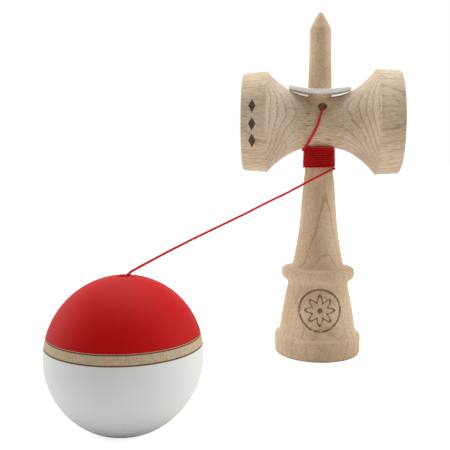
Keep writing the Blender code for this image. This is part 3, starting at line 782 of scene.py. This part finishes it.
def winding_point(turn):
    """A point of the string's centreline that many turns after it reaches the shaft's left side."""
    angle = math.pi - 2 * math.pi * turn
    saddle = ROW_SADDLE * (1 - smoothstep(turn, FIRST_ROW_TURN, LAST_ROW_TURN))
    height = FIRST_ROW_Z - ROW_PITCH * (turn - FIRST_ROW_TURN) - saddle * math.cos(2 * angle)
    radius = float(np.interp(height, shaft[:, 0], shaft[:, 1])) + STRING_D / 2 * PRESSED[0] + SHAFT_GAP
    height = ARRIVAL_Z + (height - ARRIVAL_Z) * smoothstep(turn, *HEIGHT_SETTLES)
    radius = ARRIVAL_R + (radius - ARRIVAL_R) * smoothstep(turn, *RADIUS_SETTLES)
    height = height + (EXIT_Z - height) * smoothstep(turn, EXIT_TURN - HEIGHT_LEAVES, EXIT_TURN)
    radius = radius + (EXIT_R - radius) * smoothstep(turn, EXIT_TURN - RADIUS_LEAVES, EXIT_TURN)
    return Vector((radius * math.cos(angle), radius * math.sin(angle), height))


# How far the taut string's slight bends lift it, by its share of the way to the ball
BENDS = (
    (0.0, 0.0), (0.14, 0.0), (0.28, -0.35), (0.40, -0.1), (0.5, -0.2), (0.62, 0.0), (0.75, 0.28), (0.86, 0.2),
    (0.95, -0.05), (1.0, -0.3),
)
# The straight run ends this far before the ball's hole
ENTRY_STUB = 3.7
# The string lies against the hole's side towards the ken, down to BEND_Z
HOLE_SIDE, BEND_Z = 1.08, ENTRY_Z - 2.6


def span_point(share):
    lift = float(np.interp(share, *zip(*BENDS)))
    return leave.lerp(entry - along * ENTRY_STUB, share) + Vector((0, 0, lift))


def before_hole(distance, drop):
    return entry - along * distance - Vector((0, 0, drop))


def in_hole(height, aside=0.0):
    return Vector((entry.x, entry.y, height)) - direction * aside


HOLE_ROUTE = [
    span_point(1.0), before_hole(2.7, 0.56), before_hole(1.8, 0.88),
    in_hole(BEND_Z + 1.2, HOLE_SIDE), in_hole(BEND_Z, HOLE_SIDE), in_hole(51.5, 0.6),
    in_hole(47.0), in_hole(43.0), in_hole(36.6),
]
TURN_STEPS, SPAN_STEPS, RING_SPACING = 36, 24, 0.16
wound = [winding_point(i / TURN_STEPS) for i in range(1, int(EXIT_TURN * TURN_STEPS))]
span = [span_point(i / SPAN_STEPS) for i in range(SPAN_STEPS)]
route = evenly(catmull_rom([*FRONT_ROUTE, *wound, *span, *HOLE_ROUTE], 0.1), RING_SPACING)
# The strands, the length in which one goes once round the cord, and how deep they part, to its radius
LOBES, LAY_LENGTH, GROOVE = 4, 2.5, 0.08
# Where the string is cut into pieces: in its last turn, and on its way to the ball
SPLIT_TURN, SPLIT_SPAN = 10.3, 0.62


def frames_along(line):
    """Two directions across the line at each point, turned as little as possible from one to the next."""
    tangents = np.gradient(line, axis=0)
    tangents /= np.linalg.norm(tangents, axis=1)[:, None]
    side = np.cross(tangents[0], (0.0, 0.0, 1.0))
    side /= np.linalg.norm(side)
    sides = [side]
    for tangent in tangents[1:]:
        side = sides[-1] - tangent * (sides[-1] @ tangent)
        sides.append(side / np.linalg.norm(side))
    sides = np.array(sides)
    return sides, np.cross(tangents, sides)


route_sides, route_ups = frames_along(route)


def nearest_ring(point):
    return int(np.linalg.norm(route - np.array(point), axis=1).argmin())


# The turns between which the string becomes pressed, and between which it is free again
PRESS_TURNS = (0.15, 0.5, EXIT_TURN - 0.25, EXIT_TURN - 0.03)
press_marks = [nearest_ring(winding_point(turn)) for turn in PRESS_TURNS]
pressing = np.interp(np.arange(len(route)), press_marks, (0.0, 1.0, 1.0, 0.0))
route_flattening = 1 + pressing[:, None] * (PRESSED - 1)


def groove_depth(steps):
    """How deep each of that many points round the cord lies between two strands, from 0 to 1."""
    return 1 - np.abs(np.cos(LOBES * np.pi * np.arange(steps) / steps))


def twisted_tube(name, line, frames, radii, placed, start=0, flattening=1.0, sharp_deg=50):
    """A mesh tube of twisted strands round the line, with closed ends.

    frames are the two directions across the line at each point. start is how many rings come before the
    first one, so that the strands run on from one piece to the next.
    """
    (sides, ups), (count, steps) = frames, radii.shape
    around = 2 * np.pi * np.arange(steps) / steps
    twist = 2 * np.pi * (start + np.arange(count))[:, None] * RING_SPACING / LAY_LENGTH + around
    across = (
        sides[:, None, :] * (radii * np.cos(twist))[:, :, None]
        + ups[:, None, :] * (radii * np.sin(twist))[:, :, None]
    )
    points = (line[:, None, :] + across * flattening).reshape(-1, 3)
    faces = [tuple(range(steps))[::-1], tuple((count - 1) * steps + i for i in range(steps))]
    for row in range(0, (count - 1) * steps, steps):
        for i in range(steps):
            j = (i + 1) % steps
            faces.append((row + i, row + j, row + steps + j, row + steps + i))
    mesh = mesh_from(name, points * MM, faces)
    mesh.transform(placed)
    finish_mesh(mesh, sharp_deg)
    mesh.materials.append(red_cord)
    return mesh


def cord_piece(name, first, last):
    """The string from one ring of the route to another, with its path and its length in metres."""
    rings = slice(first, last + 1)
    line = route[rings]
    groove = GROOVE * (1 - pressing[rings][:, None])
    radii = STRING_D / 2 * (1 - groove * groove_depth(LOBES * 4))
    mesh = twisted_tube(
        name, line, (route_sides[rings], route_ups[rings]), radii, Matrix.Translation(KEN), start=first,
        flattening=route_flattening[rings][:, None, :],
    )
    path = (line * MM + np.array(KEN)).tolist()
    length = float(np.linalg.norm(np.diff(line, axis=0), axis=1).sum()) * MM
    return new_object(name, mesh), path, length


turn_split = nearest_ring(winding_point(SPLIT_TURN))
span_split = nearest_ring(leave.lerp(entry, SPLIT_SPAN))
wound_string, wound_path, wound_length = cord_piece("string_wound", 0, turn_split)
taut_string, taut_path, taut_length = cord_piece("string_taut", turn_split, span_split)
ball_string, ball_path, ball_length = cord_piece("string_to_bead", span_split, len(route) - 1)


def trefoil(name, centre, axis, radius, height):
    """A tightened overhand knot: a short tube on a trefoil's line, squeezed to the given size."""
    tube_r = STRING_D * 0.46
    t = np.linspace(0.35, 2 * np.pi - 0.1, 90)
    line = np.column_stack([np.sin(t) + 2 * np.sin(2 * t), np.cos(t) - 2 * np.cos(2 * t), -np.sin(3 * t)])
    line *= ((radius - tube_r) / 3.0, (radius - tube_r) / 3.0, height / 2 - tube_r)
    line = evenly(line, RING_SPACING)
    radii = np.tile(tube_r * (1 - GROOVE * groove_depth(12)), (len(line), 1))
    turned = Vector(axis).to_track_quat("Z", "Y").to_matrix().to_4x4()
    mesh = twisted_tube(name, line, frames_along(line), radii, turned, sharp_deg=60)
    return new_object(name, mesh, centre)


ken_knot = trefoil("string_knot_in_ken", middle("ken_knot"), axis=(0, 1, 0), radius=1.6, height=2.8)
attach(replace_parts(ken_knot, "ken_knot"), "ken")
bead_knot = trefoil("string_knot_under_bead", middle("tama_knot"), axis=(0, 0, 1), radius=1.7, height=3.3)
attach(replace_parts(bead_knot, "tama_knot"), "string_end")

BEAD_R, BEAD_HOLE_R = 4.2, 0.9
bead_end = math.asin(BEAD_HOLE_R / BEAD_R)
bead_angles = np.linspace(bead_end, math.pi - bead_end, 120)
bead_section = [(BEAD_R * math.sin(angle), BEAD_R * math.cos(angle)) for angle in bead_angles]
bead_section = thinned(softened([*bead_section, bead_section[0]], 0.12), 0.003)[:-1]
bead = lathe("bead_turned", bead_section, steps=72, closed=True, at=middle("tama_bead"))
bead.data.materials.append(bead_plastic)
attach(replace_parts(bead, "tama_bead"), "string_end")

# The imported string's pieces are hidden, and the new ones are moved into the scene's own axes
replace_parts(wound_string, "string_front", "string_wrap")
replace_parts(taut_string, "string_last_turn", "string_span")
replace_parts(ball_string, "string_end")
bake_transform(wound_string)
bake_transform(taut_string)
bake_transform(ball_string)

# ---------------------------------------------------------------- floor and light

# The floor is lifted to white where it is seen, with no extra light on the object
FLOOR_GLOW = 0.78
# The world's level by direction: 0 is behind the camera and 1 behind the object
WORLD_LEVELS = [(0.0, 0.07), (0.30, 0.25), (0.55, 0.75), (0.80, 0.98), (0.96, 1.0)]
FLOOR_TONES = (0.82, 0.82, 0.815), (0.85, 0.85, 0.845)
FLOOR_HALF_M = 4.0


def floor_material():
    s = Shader("floor_pale")
    light_path = s.tree.nodes.new("ShaderNodeLightPath")
    glow = s.product(light_path.outputs["Is Camera Ray"], FLOOR_GLOW)
    s.put(s.principled.inputs["Emission Strength"], glow)
    colour = s.mix(s.noise(s.point, 0.02), *FLOOR_TONES)
    return s.finish(colour, 1.0, Specular_IOR_Level=0.0, Emission_Color=(1.0, 1.0, 1.0, 1.0))


corners = [(x * FLOOR_HALF_M, y * FLOOR_HALF_M, 0) for x, y in ((-1, -1), (1, -1), (1, 1), (-1, 1))]
floor = new_object("floor", mesh_from("floor", corners, [(0, 1, 2, 3)]))
floor.data.materials.append(floor_material())

scene = bpy.context.scene
scene.view_settings.view_transform = "Standard"
world = bpy.data.worlds.new("studio")
scene.world = world
world.use_nodes = True
sky = world.node_tree
direction_node = sky.nodes.new("ShaderNodeTexCoord")
split_node = sky.nodes.new("ShaderNodeSeparateXYZ")
sky.links.new(direction_node.outputs["Generated"], split_node.inputs[0])
ramp_node = sky.nodes.new("ShaderNodeValToRGB")
behind_share = sky.nodes.new("ShaderNodeMath")
behind_share.operation = "MULTIPLY_ADD"
behind_share.inputs[1].default_value = behind_share.inputs[2].default_value = 0.5
sky.links.new(split_node.outputs[1], behind_share.inputs[0])
sky.links.new(behind_share.outputs[0], ramp_node.inputs[0])
elements = ramp_node.color_ramp.elements
while len(elements) < len(WORLD_LEVELS):
    elements.new(0.5)
for element, (place, level) in zip(elements, WORLD_LEVELS):
    element.position, element.color = place, (level, level, level, 1.0)
background = sky.nodes["Background"]
background.inputs["Strength"].default_value = 1.0
sky.links.new(ramp_node.outputs[0], background.inputs["Color"])


def softbox(name, at, aim, width, height, watts):
    data = bpy.data.lights.new(name, "AREA")
    data.shape, data.size, data.size_y, data.energy = "RECTANGLE", width, height, watts
    light = bpy.data.objects.new(name, data)
    scene.collection.objects.link(light)
    light.location = at
    light.rotation_euler = (Vector(aim) - Vector(at)).to_track_quat("-Z", "Y").to_euler()


softbox("light_top", at=(0.0, 0.15, 0.9), aim=(0.0, 0.0, 0.05), width=0.9, height=0.7, watts=5.3)
softbox("light_left", at=(-0.9, 0.1, 0.35), aim=(0.0, 0.0, 0.08), width=0.7, height=0.7, watts=2.4)
softbox("light_right", at=(0.9, 0.1, 0.35), aim=(0.0, 0.0, 0.08), width=0.7, height=0.7, watts=2.6)
